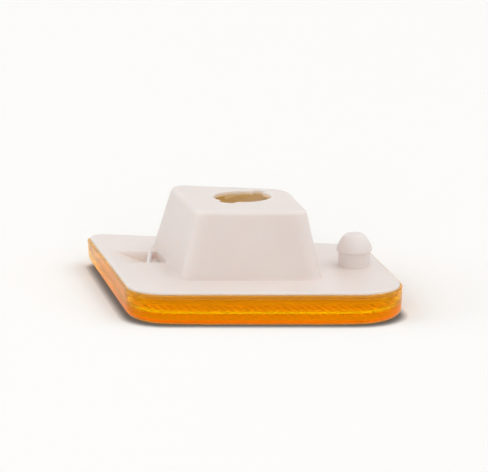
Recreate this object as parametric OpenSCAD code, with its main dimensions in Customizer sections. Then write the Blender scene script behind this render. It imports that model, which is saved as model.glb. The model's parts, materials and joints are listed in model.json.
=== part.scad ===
// Side turn-signal lamp body for a road vehicle, lying on its lens with the mounting side up.
// Three pieces: an amber tray lens, a moulded housing with a hollow bulb tower, and the sealing
// bead between them. All sizes are in millimetres. The Z axis is the axis of the bulb-holder hole,
// and Z = 0 is the outer face of the lens, on which the lamp rests.

/* [Plan shape] */
// How far the left sides run to the left towards the back, in degrees
left_lean = 13.5; // [0:0.5:20]
// How far the right sides run to the left towards the back, in degrees
right_lean = 9.6; // [0:0.1:15]
// How far the back sides drop towards the right, in degrees
back_lean = 10.7; // [0:0.1:15]

/* [Lens] */
// Bulb axis to the front side of the lens
lens_front = 41; // [36:0.5:60]
// Bulb axis to the right side of the lens, square to that side
lens_right = 41.9; // [41:0.1:60]
// Bulb axis to the back side of the lens, square to that side
lens_back = 29.2; // [28:0.1:45]
// Bulb axis to the left side of the lens, square to that side
lens_left = 40.7; // [40:0.1:60]
// Corner radius of the lens, front left
lens_round_front_left = 13; // [6:0.5:16]
// Corner radius of the lens, front right
lens_round_front_right = 13; // [6:0.5:16]
// Corner radius of the lens, back right
lens_round_back_right = 15; // [6:0.5:18]
// Corner radius of the lens, back left
lens_round_back_left = 5; // [4.5:0.5:10]
// Height of the lens rim above the outer face
lens_height = 9.1; // [8.6:0.1:14]
// Thickness of the lens side wall
lens_wall = 2.2; // [1.8:0.1:3]
// Thickness of the lens floor at its thickest
lens_floor = 2.8; // [2.4:0.1:3.4]
// Draft of the outside of the lens wall, in degrees
lens_draft = 2; // [0:0.5:3]
// Rounding of the edge between the side wall and the outer face
edge_round = 2.2; // [1:0.1:2.5]
// Rounding of the inside corner between the side wall and the floor
inner_round = 1.2; // [0.5:0.1:2]
// Width of the flat middle band of the outer face, on which the lamp rests
flat_band = 30; // [20:1:50]
// Bulb axis to the middle of the flat band, to the right
band_x = 7; // [3:0.5:9]
// Radius of the outer face where it curves up beyond the flat band
crown_radius = 465; // [400:5:2000]
// Spacing of the optic flutes moulded inside the lens floor
flute_pitch = 2.4; // [2:0.1:4]
// Depth of the optic flutes
flute_depth = 0.3; // [0.15:0.05:0.5]
// Flat land left between two flutes
flute_land = 0.3; // [0.2:0.1:0.6]

/* [Seat between lens and housing] */
// Width of the lip that stands round the base plate
lip_width = 0.7; // [0.5:0.05:1]
// Gap between the lip and the edge of the base plate
lip_gap = 0.1; // [0.05:0.05:0.3]
// Thickness of the sealing bead under the base plate
seal_thickness = 0.3; // [0.2:0.05:0.6]
// Gap between the lens wall and the locating skirt
skirt_gap = 0.15; // [0.1:0.05:0.4]

/* [Base plate] */
// Thickness of the base plate
plate_thickness = 2; // [1.6:0.1:3]
// How far the base plate stands above the lens rim
plate_proud = 0.8; // [0.3:0.1:1.5]
// Chamfer on the upper edge of the base plate
plate_chamfer = 0.35; // [0.1:0.05:0.6]
// Thickness of the locating skirt under the base plate
skirt_wall = 1.4; // [1:0.1:2]
// Depth of the locating skirt under the base plate
skirt_depth = 2; // [1:0.1:3]

/* [Bulb tower] */
// Height of the tower above the base plate
tower_height = 20.1; // [16:0.1:30]
// Bulb axis to the front side of the tower foot
tower_front = 25.5; // [22:0.1:27]
// Bulb axis to the right side of the tower foot
tower_right = 19.4; // [18.5:0.1:21]
// Bulb axis to the back side of the tower foot
tower_back = 17.2; // [16:0.1:19]
// Bulb axis to the left side of the tower foot
tower_left = 23; // [22:0.1:24]
// Draft of the front side, in degrees
draft_front = 8.2; // [2:0.1:10]
// Draft of the right side, in degrees
draft_right = 11; // [2:0.1:12]
// Draft of the back side, in degrees
draft_back = 9.8; // [2:0.1:10]
// Draft of the left side, in degrees
draft_left = 13.8; // [2:0.1:15]
// Corner radius of the tower, front left
tower_round_front_left = 5; // [3.5:0.5:7]
// Corner radius of the tower, front right
tower_round_front_right = 3.5; // [3.5:0.5:7]
// Corner radius of the tower, back right
tower_round_back_right = 9; // [3.5:0.5:10]
// Corner radius of the tower, back left
tower_round_back_left = 3.5; // [3.5:0.5:7]
// Rounding of the edge round the tower roof
roof_round = 1.2; // [0.4:0.1:1.5]
// Thickness of the tower side walls
tower_wall = 2; // [1.6:0.1:2.6]
// Thickness of the tower roof
roof_thickness = 1.4; // [1.2:0.1:3]

/* [Bulb-holder hole] */
// Diameter of the bulb-holder hole
hole_diameter = 17.5; // [14:0.1:19]
// Reach of both bayonet notches beyond the hole
notch_reach = 2; // [1:0.1:2.5]
// Width of the wide notch
wide_notch_width = 5.5; // [4:0.1:7]
// Direction of the wide notch, in degrees
wide_notch_angle = 241; // [220:1:260]
// Width of the narrow notch
narrow_notch_width = 4; // [3:0.1:5]
// Direction of the narrow notch, in degrees
narrow_notch_angle = 58; // [40:1:70]
// Turn of the bayonet ramps under the roof, in degrees
ramp_turn = 52; // [30:1:60]
// Turn from the side of a notch to the start of its ramp, in degrees
ramp_lag = 2; // [1:0.5:5]
// Depth of the bayonet ramps at their stop
ramp_rise = 1.1; // [0.6:0.1:1.6]
// Gap between the edge of the hole and the ramps
ramp_setback = 0.5; // [0.3:0.1:1]

/* [Locating peg] */
// Bulb axis to the peg axis, to the right
peg_x = 33.9; // [31:0.1:34]
// Bulb axis to the peg axis, to the front
peg_forward = 6.6; // [0:0.1:12]
// Diameter of the peg stem
peg_stem_diameter = 9.7; // [7:0.1:10]
// Length of the straight stem above the base plate
peg_stem_length = 4.2; // [3:0.1:6]
// Largest diameter of the peg head
peg_head_diameter = 10.8; // [10.3:0.1:12]
// Height of the sloped shoulder under the head
peg_shoulder = 0.7; // [0.4:0.1:1.5]
// Height of the peg above the base plate
peg_height = 9.9; // [8:0.1:12]
// Diameter of the flat tip of the peg
peg_tip_diameter = 5.6; // [4:0.1:7]
// Diameter of the core that hollows the peg from below
peg_core_diameter = 6; // [3:0.1:6]
// Thickness of solid plastic at the tip of the peg
peg_tip_wall = 3.2; // [2:0.1:4]

/* [Latch pocket] */
// Bulb axis to the shallow end of the ramp, to the left
pocket_start = 40.5; // [38:0.5:41]
// Length of the ramp
pocket_ramp_length = 11.2; // [9:0.1:11.5]
// Depth of the ramp at the latch bar
pocket_depth = 4; // [2:0.1:4]
// Thickness of the latch bar
latch_bar = 1; // [0.8:0.1:1.4]
// Depth of the slot between the latch bar and the tower
slot_depth = 2.4; // [1.5:0.1:3.5]
// Bulb axis to the front end of the pocket, to the front
pocket_front = 2.4; // [0:0.1:6]
// Length of the pocket from front to back
pocket_width = 16; // [6:0.5:16]
// Thickness of the walls round the pocket
pocket_wall = 1.4; // [1:0.1:1.8]

/* [Hidden] */
$fn = 72;
arc_steps = 10;         // straight steps in each rounded corner
round_steps = 4;        // steps in the rounding of the tower roof edge
ramp_steps = 8;         // steps in each bayonet ramp
ramp_entry = 0.2;       // share of its depth at which each bayonet ramp starts
nose_steps = 8;         // steps from the widest part of the peg to its tip
nose_bow = 1.7;         // how full the peg's nose is: 1 is a cone, more is rounder
flute_steps = 4;        // steps across the groove of each flute, and along it
least_radius = 0.5;     // smallest corner radius left by an inset
sink = 0.4;             // how deep one form starts inside the form that carries it
past = 1;               // how far a cut runs past the face that it opens
FACE_SCALES = [0.25, 0.5, 0.75, 1];  // rings of the curved outer face, from the middle out

// Outward normals of the front, right, back and left sides
NORMALS = [-90, right_lean, 90 - back_lean, 180 + left_lean];
LENS_SIDES = [lens_front, lens_right, lens_back, lens_left];
TOWER_SIDES = [tower_front, tower_right, tower_back, tower_left];
TOWER_DRAFTS = [draft_front, draft_right, draft_back, draft_left];
// Radii of the corners that follow the front, right, back and left sides
LENS_ROUNDS = [lens_round_front_right, lens_round_back_right,
               lens_round_back_left, lens_round_front_left];
TOWER_ROUNDS = [tower_round_front_right, tower_round_back_right,
                tower_round_back_left, tower_round_front_left];

plate_top = lens_height + plate_proud;
plate_bottom = plate_top - plate_thickness;
seat_z = plate_bottom - seal_thickness;
plate_inset = lip_width + lip_gap;
skirt_inset = lens_wall + skirt_gap;
tower_top = plate_top + tower_height;
roof_bottom = tower_top - roof_thickness;
hole_r = hole_diameter / 2;
flute_width = flute_pitch - flute_land;
flute_r = (pow(flute_width / 2, 2) + pow(flute_depth, 2)) / (2 * flute_depth);
flute_angle = asin(flute_width / 2 / flute_r);
flutes_each_way = ceil((lens_right + flute_pitch) / flute_pitch);
ramp_outer_r = hole_r + notch_reach;
peg_core_top = plate_top + peg_height - peg_tip_wall;
bar_x = pocket_ramp_length - pocket_start;

// Where sides i and j of an outline cross, when they lie at distances di and dj from the axis
function crossing(i, j, di, dj) =
    let (a = NORMALS[i], b = NORMALS[j])
    [di * sin(b) - dj * sin(a), dj * cos(a) - di * cos(b)] / sin(b - a);

// Outline with four straight sides at the given distances and a rounded corner after each side
function outline(sides, rounds) = [
    for (i = [0:3])
        let (j = (i + 1) % 4,
             r = max(rounds[i], least_radius),
             centre = crossing(i, j, sides[i] - r, sides[j] - r),
             turn = (NORMALS[j] - NORMALS[i] + 360) % 360)
        for (k = [0:arc_steps])
            let (a = NORMALS[i] + turn * k / arc_steps)
            centre + r * [cos(a), sin(a)]
];

// The lens outline moved inwards by one distance all round
function lens_outline(inset) =
    outline([for (d = LENS_SIDES) d - inset], [for (r = LENS_ROUNDS) r - inset]);

// The tower outline at one height, moved inwards by one distance all round
function tower_outline(z, inset) =
    let (rise = max(z - plate_top, 0))
    outline([for (i = [0:3]) TOWER_SIDES[i] - rise * tan(TOWER_DRAFTS[i]) - inset],
            [for (r = TOWER_ROUNDS) r - inset]);

// Outline lifted to a height
function lifted(points, z) = [for (p = points) [p[0], p[1], z]];

// Solid through a stack of rings that all have the same number of points
module loft(rings) {
    n = len(rings[0]);
    last = (len(rings) - 1) * n;
    points = [for (ring = rings) each ring];
    sides = [
        for (i = [0:len(rings) - 2], k = [0:n - 1])
            let (a = i * n + k, b = i * n + (k + 1) % n)
            each [[a, a + n, b + n], [a, b + n, b]]
    ];
    caps = [[for (k = [0:n - 1]) k], [for (k = [n - 1:-1:0]) last + k]];
    polyhedron(points = points, faces = concat(caps, sides), convexity = 6);
}

// Height of the curved outer face above the face that the lamp rests on
function crown(x) = pow(max(abs(x - band_x) - flat_band / 2, 0), 2) / (2 * crown_radius);

// Outline scaled about the middle of the flat band and laid on the outer face, a height above it
function crowned(points, height, scale) = [
    for (p = points)
        let (x = band_x + (p[0] - band_x) * scale)
        [x, p[1] * scale, crown(x) + height]
];

// Flat layer of an outline between two heights
module layer(points, low, high) {
    translate([0, 0, low]) linear_extrude(high - low) polygon(points);
}

// Profile in X and Z, carried along Y from one place to another
module along_y(points, from, to) {
    translate([0, to, 0]) rotate([90, 0, 0]) linear_extrude(to - from) polygon(points);
}

// ---------- lens ----------

// Outside of the tray: curved outer face, rounded edge and drafted side wall
module lens_body() {
    wall_foot = (lens_height - edge_round) * tan(lens_draft);
    loft(concat(
        [for (scale = FACE_SCALES) crowned(lens_outline(wall_foot + edge_round), 0, scale)],
        [for (k = [1:round_steps])
            let (a = 90 * k / round_steps)
            crowned(lens_outline(wall_foot + edge_round * (1 - sin(a))),
                    edge_round * (1 - cos(a)), 1)],
        [lifted(lens_outline(0), lens_height)]
    ));
}

// Inside of the tray: a floor that keeps its distance from the outer face, and the side walls
module lens_cavity() {
    floor_inset = lens_wall + inner_round;
    loft(concat(
        [for (scale = FACE_SCALES) crowned(lens_outline(floor_inset), lens_floor, scale)],
        [for (k = [1:round_steps])
            let (a = 90 * k / round_steps)
            crowned(lens_outline(floor_inset - inner_round * sin(a)),
                    lens_floor + inner_round * (1 - cos(a)), 1)],
        [lifted(lens_outline(lens_wall), lens_height + past)]
    ));
}

// Groove of one flute across its length, closed above the lens floor
function flute_profile() = concat(
    [for (k = [0:flute_steps])
        let (a = flute_angle * (1 - 2 * k / flute_steps))
        [flute_r * sin(a), flute_r * (1 - cos(a)) - flute_depth]],
    [[-flute_width / 2, past], [flute_width / 2, past]]
);

// One flute, which runs parallel to the left side of the lens and follows its curved floor
module optic_flute(number) {
    loft([
        for (k = [0:flute_steps])
            let (y = lens_front * (2 * k / flute_steps - 1),
                 x = number * flute_pitch - y * tan(left_lean),
                 low = lens_floor + crown(x))
            [for (p = flute_profile()) [x + p[0], y, low + p[1]]]
    ]);
}

// Round grooves moulded side by side in the inner face of the lens floor
module optic_flutes() {
    intersection() {
        union() {
            for (number = [-flutes_each_way:flutes_each_way]) optic_flute(number);
        }
        layer(lens_outline(lens_wall + inner_round + flute_land), 0, lens_height);
    }
}

module lens() {
    color("#E9860F") difference() {
        lens_body();
        lens_cavity();
        optic_flutes();
        layer(lens_outline(lip_width), seat_z, lens_height + past);
    }
}

// ---------- sealing bead ----------

module lens_seal() {
    color("#D9D6CC") difference() {
        layer(lens_outline(plate_inset), seat_z, plate_bottom);
        layer(lens_outline(lens_wall), seat_z - past, plate_bottom + past);
    }
}

// ---------- housing ----------

module base_plate() {
    loft([
        lifted(lens_outline(plate_inset), plate_bottom),
        lifted(lens_outline(plate_inset), plate_top - plate_chamfer),
        lifted(lens_outline(plate_inset + plate_chamfer), plate_top)
    ]);
}

// Wall under the base plate that drops inside the lens and centres it
module locating_skirt() {
    difference() {
        layer(lens_outline(skirt_inset), plate_bottom - skirt_depth, plate_bottom + sink);
        layer(lens_outline(skirt_inset + skirt_wall), 0, plate_bottom);
    }
}

// Outside of the tower, with a rounded edge round its roof
module tower_body() {
    loft([
        lifted(tower_outline(plate_top, 0), plate_top - sink),
        lifted(tower_outline(plate_top, 0), plate_top),
        for (k = [0:round_steps])
            let (a = 90 * k / round_steps, z = tower_top - roof_round * (1 - sin(a)))
            lifted(tower_outline(z, roof_round * (1 - cos(a))), z)
    ]);
}

// Bulb chamber: the inside of the tower, open to the lens below
module bulb_chamber() {
    loft([
        lifted(tower_outline(plate_top, tower_wall), 0),
        lifted(tower_outline(plate_top, tower_wall), plate_top),
        lifted(tower_outline(roof_bottom, tower_wall), roof_bottom)
    ]);
}

// Notch in the edge of the hole that lets one lug of the bulb holder through
module notch(width, angle) {
    rotate(angle) translate([0, -width / 2, roof_bottom - past])
        cube([hole_r + notch_reach, width, roof_thickness + 2 * past]);
}

// Ramp under the roof that draws one lug of the bulb holder up as it turns
module bayonet_ramp(start) {
    inner = hole_r + ramp_setback;
    loft([
        for (k = [0:ramp_steps])
            let (a = start + ramp_turn * k / ramp_steps,
                 low = roof_bottom - ramp_rise * (ramp_entry + (1 - ramp_entry) * k / ramp_steps),
                 high = roof_bottom + sink)
            [for (p = [[inner, low], [inner, high], [ramp_outer_r, high], [ramp_outer_r, low]])
                [p[0] * cos(a), p[0] * sin(a), p[1]]]
    ]);
}

// Both ramps, each starting where its notch ends
module bayonet_ramps() {
    bayonet_ramp(wide_notch_angle + asin(wide_notch_width / 2 / hole_r) + ramp_lag);
    bayonet_ramp(narrow_notch_angle + asin(narrow_notch_width / 2 / hole_r) + ramp_lag);
}

// Peg with a head that snaps through a grommet in the body panel
module locating_peg() {
    stem_r = peg_stem_diameter / 2;
    head_r = peg_head_diameter / 2;
    tip_r = peg_tip_diameter / 2;
    head_z = peg_stem_length + peg_shoulder;
    nose = [
        for (k = [0:nose_steps])
            let (s = k / nose_steps)
            [tip_r + (head_r - tip_r) * (1 - pow(s, nose_bow)),
             head_z + (peg_height - head_z) * s]
    ];
    translate([peg_x, -peg_forward, plate_top])
        rotate_extrude()
            polygon(concat([[0, -sink], [stem_r, -sink], [stem_r, peg_stem_length]],
                           nose, [[0, peg_height]]));
}

// Blind core that keeps the wall of the peg even
module peg_core() {
    translate([peg_x, -peg_forward, plate_bottom - past])
        cylinder(d = peg_core_diameter, h = peg_core_top - plate_bottom + past);
}

// Ramp that a spring latch slides down, as a profile in X and Z
function ramp_profile(grow) = [
    [-pocket_start - grow, plate_top + past - grow],
    [-pocket_start - grow, plate_top - grow],
    [bar_x + grow, plate_top - pocket_depth - grow],
    [bar_x + grow, plate_top + past - grow]
];

// Slot between the latch bar and the tower, as a box that ends inside the bulb chamber
module slot_box(depth, grow) {
    from_x = bar_x + latch_bar - grow;
    translate([from_x, -pocket_front - grow, plate_top - depth])
        cube([-tower_left / 2 - from_x, pocket_width + 2 * grow, depth + past]);
}

// Walls and floors that close the pocket from below
module pocket_tub() {
    intersection() {
        union() {
            along_y(ramp_profile(pocket_wall), -pocket_front - pocket_wall,
                    pocket_width - pocket_front + pocket_wall);
            slot_box(slot_depth + pocket_wall, pocket_wall);
        }
        layer(lens_outline(skirt_inset), 0, plate_top - plate_chamfer);
    }
}

// Ramp and slot that are open to the mounting side
module pocket_space() {
    along_y(ramp_profile(0), -pocket_front, pocket_width - pocket_front);
    difference() {
        slot_box(slot_depth, 0);
        layer(tower_outline(plate_top, 0), 0, plate_top + 2 * past);
    }
}

module housing() {
    color("#EBE0DB") union() {
        difference() {
            union() {
                base_plate();
                locating_skirt();
                tower_body();
                locating_peg();
                pocket_tub();
            }
            bulb_chamber();
            peg_core();
            pocket_space();
            translate([0, 0, roof_bottom - past]) cylinder(r = hole_r, h = roof_thickness + 2 * past);
            notch(wide_notch_width, wide_notch_angle);
            notch(narrow_notch_width, narrow_notch_angle);
        }
        bayonet_ramps();
    }
}

lens();
lens_seal();
housing();
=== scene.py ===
# %% [markdown]
# # Side turn-signal lamp body
#
# The real thing is two plastic mouldings. An amber lens, shaped like a shallow tray, lies face down. A
# housing in natural, off-white plastic closes it from behind and carries a hollow tower for the bulb, a snap
# peg and a pocket for a spring latch. This lesson gives both mouldings, and the bead of sealant between
# them, their finished skins.
#
# The solids come packed from CAD and set every place here. A scene could also be started from an empty file
# and fitted by eye, but then a change of size in the CAD part would leave the finish behind.

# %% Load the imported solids
import json
import bpy
import numpy as np
from mathutils import Matrix, Vector


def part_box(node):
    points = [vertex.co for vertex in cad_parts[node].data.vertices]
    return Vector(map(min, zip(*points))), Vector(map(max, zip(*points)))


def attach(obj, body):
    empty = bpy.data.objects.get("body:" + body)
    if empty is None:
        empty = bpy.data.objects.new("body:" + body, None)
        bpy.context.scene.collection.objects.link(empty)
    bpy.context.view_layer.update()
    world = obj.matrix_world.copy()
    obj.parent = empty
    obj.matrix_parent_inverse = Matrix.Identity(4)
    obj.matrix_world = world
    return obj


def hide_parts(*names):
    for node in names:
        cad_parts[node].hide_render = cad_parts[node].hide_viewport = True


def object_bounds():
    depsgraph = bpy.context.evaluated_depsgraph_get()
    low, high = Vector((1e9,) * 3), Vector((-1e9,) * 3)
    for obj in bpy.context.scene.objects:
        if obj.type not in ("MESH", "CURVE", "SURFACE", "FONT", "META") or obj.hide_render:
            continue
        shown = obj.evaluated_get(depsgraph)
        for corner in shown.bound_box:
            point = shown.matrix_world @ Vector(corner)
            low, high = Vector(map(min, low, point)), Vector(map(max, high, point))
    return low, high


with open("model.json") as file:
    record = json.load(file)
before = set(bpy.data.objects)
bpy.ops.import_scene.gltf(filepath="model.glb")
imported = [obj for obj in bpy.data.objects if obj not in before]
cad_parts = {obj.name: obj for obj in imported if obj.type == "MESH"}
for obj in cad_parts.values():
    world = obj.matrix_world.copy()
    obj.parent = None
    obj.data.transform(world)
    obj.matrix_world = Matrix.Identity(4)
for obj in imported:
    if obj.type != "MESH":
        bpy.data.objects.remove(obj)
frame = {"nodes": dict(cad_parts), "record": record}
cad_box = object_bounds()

MM = 0.001
print("solids:", sorted(frame["nodes"]))
print("box in mm:", [[round(v / MM, 2) for v in corner] for corner in cad_box])

# %% [markdown]
# ## Camera
#
# A camera can be placed by hand in the viewport, or aimed at an empty. Here the place and the downward tilt
# are numbers, because a long lens from a known distance decides how flat the plate looks, and that is easier
# to reason about as "158 mm lens, 12.6 degrees down". About 640 mm is a usual distance on a studio table.

# %% Place the camera
CAMERA_AT = (0.55, -640.4, 160.7)  # mm
CAMERA_TILT = 12.6  # degrees below the horizon
FOCAL_LENGTH, SENSOR_WIDTH = 158.6, 36.0  # mm
NEAREST, FARTHEST = 0.01, 20.0  # m, the range that the camera shows

camera_data = bpy.data.cameras.new("product_camera")
camera_data.lens = FOCAL_LENGTH
camera_data.sensor_width = SENSOR_WIDTH
camera_data.sensor_fit = "HORIZONTAL"
camera_data.clip_start = NEAREST
camera_data.clip_end = FARTHEST
camera = bpy.data.objects.new("product_camera", camera_data)
tilt = Matrix.Rotation(np.radians(90 - CAMERA_TILT), 4, "X")
camera.matrix_world = Matrix.Translation(Vector(CAMERA_AT) * MM) @ tilt
bpy.context.scene.collection.objects.link(camera)
bpy.context.scene.camera = camera
print("camera looks along", [round(v, 3) for v in camera.matrix_world.col[2].xyz * -1])

# %% [markdown]
# ## Node helper and colours
#
# Materials can be drawn by hand in the node editor. Written as code they need one short helper: it adds a
# node, sets its options, and fills each input with a value or a link. Colours are written as the hex codes
# that a paint chart gives, and turned into the linear light that the renderer adds up.

# %% Define the node and colour helpers
def linear(hex_code):
    """Linear RGBA of an sRGB hex colour: a straight line near black, and a power of 2.4 above it."""
    srgb = np.array([int(hex_code[i:i + 2], 16) for i in (1, 3, 5)]) / 255
    light = np.where(srgb <= 0.04045, srgb / 12.92, ((srgb + 0.055) / 1.055) ** 2.4)
    return (*light.tolist(), 1.0)


def add(tree, kind, inputs=None, **settings):
    """Adds a node. settings are its own options; inputs give each named input a number, a colour or another
    node's output."""
    node = tree.nodes.new(kind)
    for name, value in settings.items():
        setattr(node, name, value)
    for name, value in (inputs or {}).items():
        if isinstance(value, bpy.types.NodeSocket):
            tree.links.new(value, node.inputs[name])
        else:
            node.inputs[name].default_value = value
    return node


def new_material(name):
    """An empty node material and its output node."""
    material = bpy.data.materials.new(name)
    material.use_nodes = True
    material.node_tree.nodes.clear()
    return material, add(material.node_tree, "ShaderNodeOutputMaterial")


print("the mid grey #808080 is", round(linear("#808080")[0], 3), "in linear light")

# %% [markdown]
# ## Light
#
# The lamp lies in a white room under very soft light. Area lights with a size in metres would do, but they
# grow stronger towards the table. Three suns that each span 60 degrees act as softboxes at any distance: one
# high on the right, one on the left and one before the lamp. A white world fills the shadows and needs no
# far edge.
#
# The room has to look white without burning the pale plastic. So the world is dimmer as light than it is as
# a sight, which Light Path tells apart, and glass and gloss see the same white room as the camera does.

# %% Light the scene
SKY_LIGHT = 0.43  # how bright the world is as light; 1 is white
SUN_SPAN = 60.0  # degrees of the sky that each sun fills
SUNS = {"softbox_right": ((0.50, 0.0, 0.87), 1.05),  # where it comes from, and watts per square metre
        "softbox_left": ((-0.87, 0.0, 0.50), 0.68),
        "softbox_front": ((0.0, -0.87, 0.50), 0.57)}

world = bpy.data.worlds.new("white_room")
world.use_nodes = True
sky = world.node_tree
sky.nodes.clear()
sight = add(sky, "ShaderNodeLightPath")
gloss_or_camera = add(sky, "ShaderNodeMath", {
    0: sight.outputs["Is Camera Ray"], 1: sight.outputs["Is Glossy Ray"]}, operation="MAXIMUM")
seen = add(sky, "ShaderNodeMath", {
    0: gloss_or_camera.outputs[0], 1: sight.outputs["Is Transmission Ray"]}, operation="MAXIMUM")
level = add(sky, "ShaderNodeMapRange", {"Value": seen.outputs[0], "To Min": SKY_LIGHT, "To Max": 1.0})
glow = add(sky, "ShaderNodeBackground", {"Color": linear("#FFFFFF"), "Strength": level.outputs["Result"]})
add(sky, "ShaderNodeOutputWorld", {"Surface": glow.outputs[0]})
bpy.context.scene.world = world

for name, (origin, strength) in SUNS.items():
    sun_data = bpy.data.lights.new(name, "SUN")
    sun_data.energy = strength
    sun_data.angle = np.radians(SUN_SPAN)
    sun = bpy.data.objects.new(name, sun_data)
    sun.rotation_euler = Vector(origin).to_track_quat("Z", "Y").to_euler()
    bpy.context.scene.collection.objects.link(sun)
    height = np.degrees(np.arcsin(Vector(origin).normalized().z))
    print(name, "stands", round(float(height)), "degrees high")

# %% [markdown]
# ## Floor
#
# The floor is one plane of matt white paper, wide enough that its edge never shows, and it catches the
# lamp's shadow. A plain white shader would do for that. Three things are added for the sight of it. The
# camera sees the paper a touch whiter than it lights the lamp. Within a few millimetres of the lamp's foot,
# where little sky reaches the paper, ambient occlusion darkens it for the camera. And through the lens it is
# seen fully white, as a lit table is, so a little of that white also reaches the bulb chamber.

# %% Mix the white paper
PAPER, PAPER_ROUGHNESS = "#FDFCFA", 1.0
FLOOR_LIFT = 0.035  # how much whiter the floor looks to the camera than it lights the lamp
FLOOR_THROUGH = 1.0  # how bright it is through the lens; 1 is white
CONTACT_SHADE, CONTACT_REACH = 0.8, 3.2  # how much darker the paper is at the foot, and how far out in mm
FOOT_OPENNESS = 0.5  # share of its sky that paper sees right at the foot of a wall
SHADE_SAMPLES = 8  # rays that look for it at each point

floor_paper, floor_end = new_material("matt_white_paper")
tree = floor_paper.node_tree
sight = add(tree, "ShaderNodeLightPath")
near = add(tree, "ShaderNodeAmbientOcclusion", {"Distance": CONTACT_REACH * MM}, samples=SHADE_SAMPLES)
hidden = add(tree, "ShaderNodeMapRange", {
    "Value": near.outputs["AO"], "From Min": FOOT_OPENNESS, "To Min": CONTACT_SHADE, "To Max": 0.0})
contact = add(tree, "ShaderNodeMath", {
    0: hidden.outputs["Result"], 1: sight.outputs["Is Camera Ray"]}, operation="MULTIPLY")
white = add(tree, "ShaderNodeMix", {
    "Factor": contact.outputs[0], "A": linear(PAPER), "B": linear("#000000")}, data_type="RGBA")
paper = add(tree, "ShaderNodeBsdfDiffuse", {"Color": white.outputs["Result"], "Roughness": PAPER_ROUGHNESS})
extra = add(tree, "ShaderNodeMath", {
    0: sight.outputs["Is Camera Ray"], 1: FLOOR_LIFT}, operation="MULTIPLY")
lift = add(tree, "ShaderNodeEmission", {"Color": linear("#FFFFFF"), "Strength": extra.outputs[0]})
lifted = add(tree, "ShaderNodeAddShader", {0: paper.outputs[0], 1: lift.outputs[0]})
through = add(tree, "ShaderNodeEmission", {"Color": linear("#FFFFFF"), "Strength": FLOOR_THROUGH})
past_lens = add(tree, "ShaderNodeMath", {
    0: sight.outputs["Is Transmission Ray"], 1: sight.outputs["Transparent Depth"]}, operation="MAXIMUM")
either = add(tree, "ShaderNodeMixShader", {
    0: past_lens.outputs[0], 1: lifted.outputs[0], 2: through.outputs[0]})
tree.links.new(either.outputs[0], floor_end.inputs["Surface"])
print("paper has", len(tree.nodes), "nodes")

# %% Lay the floor
FLOOR_HALF = 4000.0  # mm
FLOOR_GAP = 0.05  # mm, so that lens and floor never share one plane
corners = np.array([[-1, -1, 0], [1, -1, 0], [1, 1, 0], [-1, 1, 0]]) * FLOOR_HALF * MM
floor_mesh = bpy.data.meshes.new("floor")
floor_mesh.from_pydata(corners.tolist(), [], [(0, 1, 2, 3)])
floor_mesh.materials.append(floor_paper)
floor = bpy.data.objects.new("floor", floor_mesh)
floor.location.z = cad_box[0][2] - FLOOR_GAP * MM
bpy.context.scene.collection.objects.link(floor)
print("floor at z =", round(floor.location.z / MM, 3), "mm")

# %% [markdown]
# ## Sizes taken from the solids
#
# Both mouldings are drawn with the same kind of outline: four straight sides, square to four fixed
# directions, with a rounded corner after each side. The directions, the drafts and the corner radii are
# design values, so they are written here. How far each side lies from the bulb axis, and every height, could
# be copied from a drawing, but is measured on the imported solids, so that it can't go out of date.

# %% Measure sides and heights
NORMALS = np.radians([-90.0, 9.6, 79.3, 193.5])  # outward normals of the front, right, back and left sides
FACINGS = np.stack([np.cos(NORMALS), np.sin(NORMALS)])
LENS_ROUNDS = np.array([13.0, 15.0, 5.0, 13.0])  # corner after each side, mm
TOWER_ROUNDS = np.array([3.5, 9.0, 3.5, 5.0])
TOWER_DRAFTS = np.tan(np.radians([8.2, 11.0, 9.8, 13.8]))
ROOF_ROUND = 1.2
SLICE = 0.01  # mm above and below a height within which points count


def sides_at(node, height):
    """Distance of each side from the bulb axis at a height, in mm: the farthest that any of the solid's
    points near that height reaches along the side's normal."""
    vertices = frame["nodes"][node].data.vertices
    flat = np.empty(len(vertices) * 3, np.float32)
    vertices.foreach_get("co", flat)
    points = flat.reshape(-1, 3) / MM
    band = points[(points[:, 2] >= height - SLICE) & (points[:, 2] <= height + SLICE)]
    return (band[:, :2] @ FACINGS).max(axis=0)


mounts = {mount["name"]: mount for mount in frame["record"]["mounts"]}
lens_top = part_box("lens")[1].z / MM
seat_z, plate_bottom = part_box("lens_seal")[0].z / MM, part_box("lens_seal")[1].z / MM
plate_top = mounts["plate_face"]["pos_m"][2] / MM
tower_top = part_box("housing")[1].z / MM
wall_end = tower_top - ROOF_ROUND
LENS_SIDES = sides_at("lens", lens_top)
PLATE_INSET = float((LENS_SIDES - sides_at("housing", plate_bottom)).mean())
TOWER_SIDES = sides_at("housing", wall_end) + (wall_end - plate_top) * TOWER_DRAFTS
print("lens sides", LENS_SIDES.round(2), "tower sides at its foot", TOWER_SIDES.round(2))
print("heights", [round(z, 2) for z in (seat_z, plate_bottom, lens_top, plate_top, tower_top)])
print("plate inset", round(PLATE_INSET, 2))

# %% [markdown]
# ## Outlines in polar form
#
# A ring of the moulding could be a bezier loop, or a rounded rectangle from bmesh. A distance as a function
# of the direction is better here, because the plate, the tower and the round hole then share one set of
# directions, and a single grid runs over all of them without a seam.

# %% Define the outline function
AROUND = 720
THETA = np.arange(AROUND) * 2 * np.pi / AROUND
RAYS = np.stack([np.cos(THETA), np.sin(THETA)])
LEAST_ROUND = 0.5
TINY = 1e-6  # keeps a division away from zero


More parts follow.
